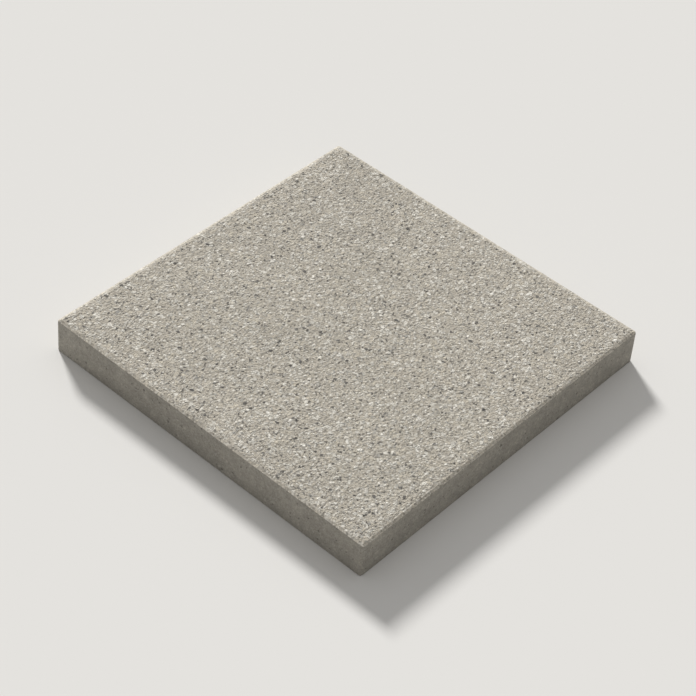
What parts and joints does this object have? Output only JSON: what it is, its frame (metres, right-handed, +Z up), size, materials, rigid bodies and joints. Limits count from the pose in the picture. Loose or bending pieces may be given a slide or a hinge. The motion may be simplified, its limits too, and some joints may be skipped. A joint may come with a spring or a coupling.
{
  "type": "concrete paving slab",
  "caption": "Square concrete paving slab with a bevelled, blasted walking face and a plain bedding face, for laying on sand in a regular grid.",
  "frame": {"origin": "centre of the underside", "axes": "+Z up through the slab, out of the walking face; +X and +Y square to its sides"},
  "size_m": [0.496, 0.496, 0.05],
  "materials": {
    "pressed_concrete": "fine-blasted concrete, light warm grey with dark and pale aggregate specks"
  },
  "bodies": {
    "root": {"paving_slab": "pressed_concrete"}
  },
  "joints": []
}
